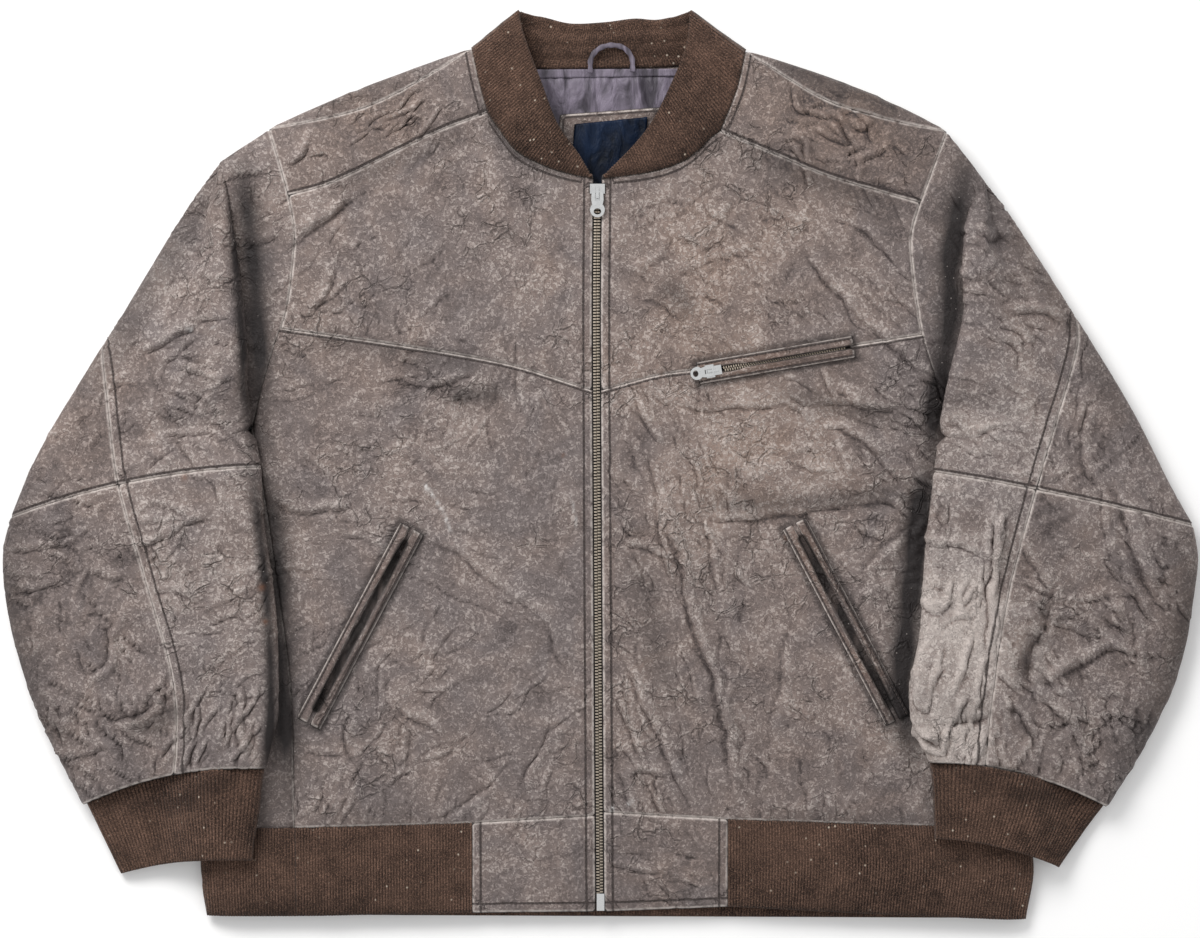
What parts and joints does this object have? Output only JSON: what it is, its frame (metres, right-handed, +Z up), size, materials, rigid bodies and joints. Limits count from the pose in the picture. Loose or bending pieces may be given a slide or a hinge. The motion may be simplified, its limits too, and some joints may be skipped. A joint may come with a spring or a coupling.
{
  "type": "worn leather jacket",
  "caption": "Worn leather bomber jacket laid flat, front up, with ribbed collar, cuffs and hem, a full front zip, slanted hand pockets and a zipped chest pocket.",
  "frame": {"origin": "centre of the outline, on the surface that the jacket lies on", "axes": "+X to the right across the sleeves as seen from above, +Y towards the neck, +Z up out of the surface"},
  "size_m": [0.9831, 0.7482, 0.0459],
  "materials": {
    "leather": "worn grey-brown pigskin, matt, creased, with pale rubbed edges",
    "leather_trim": "brown leather welts and neck patch, slightly smoother",
    "rib_knit": "dark brown ribbed knit with a little lint",
    "lining": "grey-mauve satin lining, soft sheen",
    "label_cloth": "plain navy satin, bare",
    "zip_tape": "black woven zip tape",
    "zip_teeth": "dull antique brass teeth",
    "zip_metal": "worn nickel"
  },
  "bodies": {
    "jacket": {"front_yoke_L": "leather", "front_chest_L": "leather", "front_lower_L": "leather", "hem_tab_L": "leather", "sleeve_front_upper_L": "leather", "sleeve_outer_upper_L": "leather", "sleeve_front_lower_L": "leather", "sleeve_outer_lower_L": "leather", "sleeve_under_L": "leather", "hem_rib_front_L": "rib_knit", "cuff_L": "rib_knit", "hand_welt_inner_L": "leather_trim", "hand_welt_outer_L": "leather_trim", "zip_tape_L": "zip_tape", "front_yoke_R": "leather", "front_chest_R": "leather", "front_lower_R": "leather", "hem_tab_R": "leather", "sleeve_front_upper_R": "leather", "sleeve_outer_upper_R": "leather", "sleeve_front_lower_R": "leather", "sleeve_outer_lower_R": "leather", "sleeve_under_R": "leather", "hem_rib_front_R": "rib_knit", "cuff_R": "rib_knit", "hand_welt_inner_R": "leather_trim", "hand_welt_outer_R": "leather_trim", "zip_tape_R": "zip_tape", "back_panel": "leather", "hem_rib_back": "rib_knit", "collar_rib": "rib_knit", "neck_lining": "lining", "neck_binding": "lining", "neck_patch": "leather_trim", "neck_label": "label_cloth", "hanger_loop": "lining", "chest_welt_upper": "leather_trim", "chest_welt_lower": "leather_trim", "chest_zip_chain": "zip_teeth", "zip_chain": "zip_teeth", "zip_bottom": "zip_metal", "zip_slider": "zip_metal", "chest_zip_slider": "zip_metal"},
    "main_pull": {"zip_pull": "zip_metal"},
    "chest_pull": {"chest_zip_pull": "zip_metal"}
  },
  "joints": [
    {"name": "main_pull_swing", "type": "hinge", "parent": "jacket", "child": "main_pull", "pos_m": [-0.00211, 0.2238, 0.02927], "axis": [-1, 0, 0], "range_deg": [0, 150]},
    {"name": "chest_pull_swing", "type": "hinge", "parent": "jacket", "child": "chest_pull", "pos_m": [0.09232, 0.07712, 0.03086], "axis": [-0.1694, 0.9855, 0], "range_deg": [0, 150]}
  ]
}
